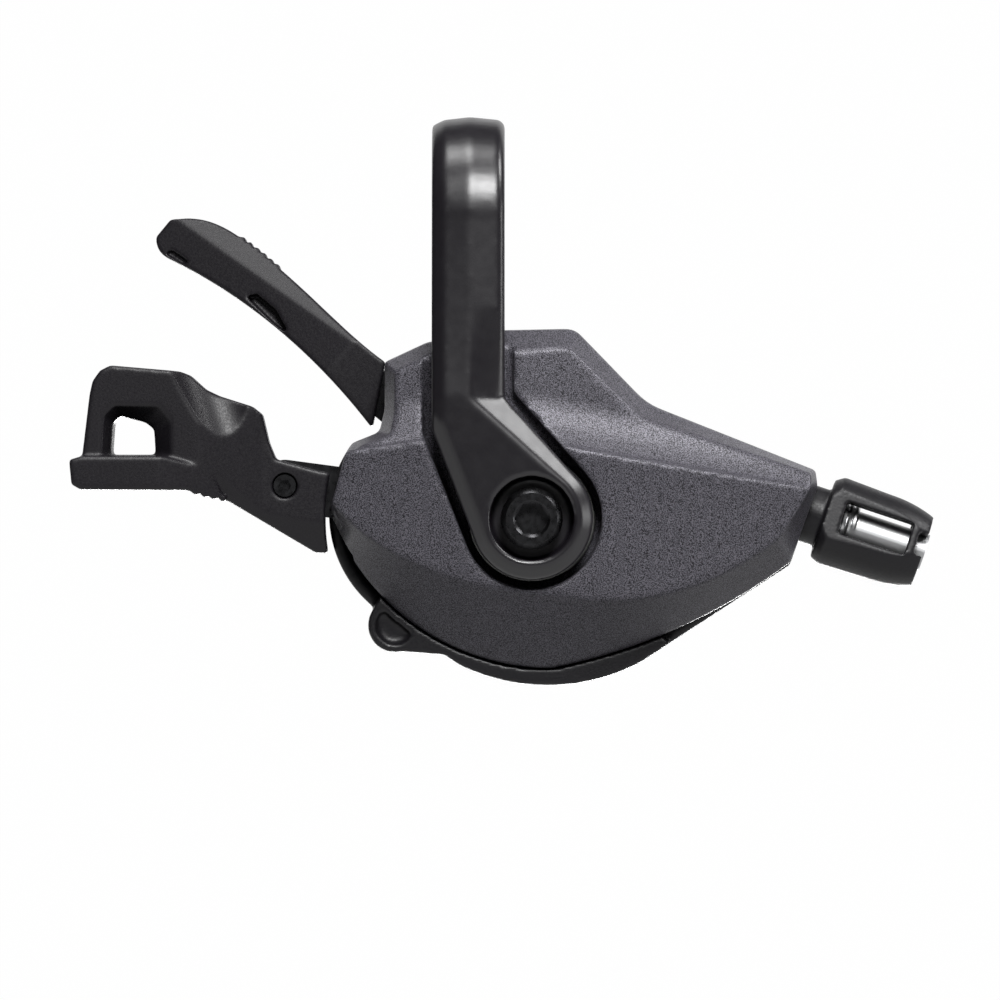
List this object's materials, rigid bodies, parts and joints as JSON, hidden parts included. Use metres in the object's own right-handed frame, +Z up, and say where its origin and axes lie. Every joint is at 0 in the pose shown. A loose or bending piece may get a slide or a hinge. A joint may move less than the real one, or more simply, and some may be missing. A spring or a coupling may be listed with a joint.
{
  "type": "trigger gear shifter",
  "caption": "Thumb operated gear shifter for a flat handlebar with a band clamp, a winding lever, a two-way release lever and a cable adjuster.",
  "frame": {"origin": "centre of the handlebar clamp bore", "axes": "+X along the handlebar towards the cable outlet, +Z up, +Y away from the cover"},
  "size_m": [0.1166, 0.0418, 0.0767],
  "materials": {
    "cover_plastic": "fine grained dark grey moulding",
    "housing_plastic": "smooth black moulding",
    "lever_plastic": "satin black moulding",
    "clamp_alloy": "satin black coating",
    "black_steel": "black oxide",
    "plain_steel": "pressed and plated",
    "spring_steel": "drawn wire",
    "drum_plastic": "moulded acetal",
    "knob_plastic": "satin black moulding",
    "bright_alloy": "turned"
  },
  "bodies": {
    "body": {"front_cover": "cover_plastic", "rear_housing": "housing_plastic", "cover_screw": "black_steel", "housing_screws": "black_steel", "clamp_band": "clamp_alloy", "clamp_bolt": "black_steel", "bracket": "plain_steel", "base_plate": "plain_steel", "frame_posts": "plain_steel", "axle": "plain_steel", "axle_nut": "plain_steel", "thrust_washer": "plain_steel", "position_pawl_pin": "plain_steel", "position_pawl_spring": "spring_steel", "release_spring": "spring_steel"},
    "drum": {"cable_drum": "drum_plastic", "ratchet_wheel": "plain_steel", "drum_spring": "spring_steel"},
    "main_lever": {"main_lever_plate": "plain_steel", "main_lever_cap": "lever_plastic", "main_lever_screw": "black_steel", "main_lever_spring": "spring_steel", "winding_pawl_pin": "plain_steel", "winding_pawl_spring": "spring_steel"},
    "winding_pawl": {"winding_pawl": "plain_steel"},
    "position_pawl": {"position_pawl": "plain_steel"},
    "release_lever": {"release_lever_plate": "plain_steel", "release_lever_cap": "lever_plastic", "release_lever_screw": "black_steel"},
    "adjuster": {"adjuster_knob": "knob_plastic", "adjuster_spring": "spring_steel"},
    "adjuster_bolt": {"adjuster_bolt": "bright_alloy"}
  },
  "joints": [
    {"name": "main_lever", "type": "hinge", "parent": "body", "child": "main_lever", "pos_m": [0.0085, 0, -0.0401], "axis": [0, -1, 0], "range_deg": [0, 45], "stiffness_Nm_per_rad": 0.1, "springref_deg": -17.19},
    {"name": "release_lever", "type": "hinge", "parent": "body", "child": "release_lever", "pos_m": [0.0085, 0, -0.0401], "axis": [0, -1, 0], "range_deg": [-10, 10], "stiffness_Nm_per_rad": 0.3},
    {"name": "drum_index", "type": "hinge", "parent": "body", "child": "drum", "pos_m": [0.0085, 0, -0.0401], "axis": [0, -1, 0], "range_deg": [0, 150], "stiffness_Nm_per_rad": 0.02, "springref_deg": -57.3},
    {"name": "winding_pawl", "type": "hinge", "parent": "main_lever", "child": "winding_pawl", "pos_m": [0.00269, 0, -0.02413], "axis": [0, -1, 0], "range_deg": [0, 10], "stiffness_Nm_per_rad": 0.01, "springref_deg": -5.73},
    {"name": "position_pawl", "type": "hinge", "parent": "body", "child": "position_pawl", "pos_m": [0.02152, 0, -0.05103], "axis": [0, -1, 0], "range_deg": [0, 10], "stiffness_Nm_per_rad": 0.01, "springref_deg": -5.73},
    {"name": "adjuster_travel", "type": "slide", "parent": "body", "child": "adjuster_bolt", "axis": [0.9483, 0, -0.3173], "range_m": [0, 0.004]},
    {"name": "adjuster_turn", "type": "hinge", "parent": "body", "child": "adjuster", "pos_m": [0.05419, 0.0027, -0.04221], "axis": [0.9483, 0, -0.3173], "range_deg": [0, 1800]}
  ],
  "couplings": [
    {"joint": "adjuster_turn", "follows": "adjuster_travel", "rad_per_m": 7853.9}
  ]
}
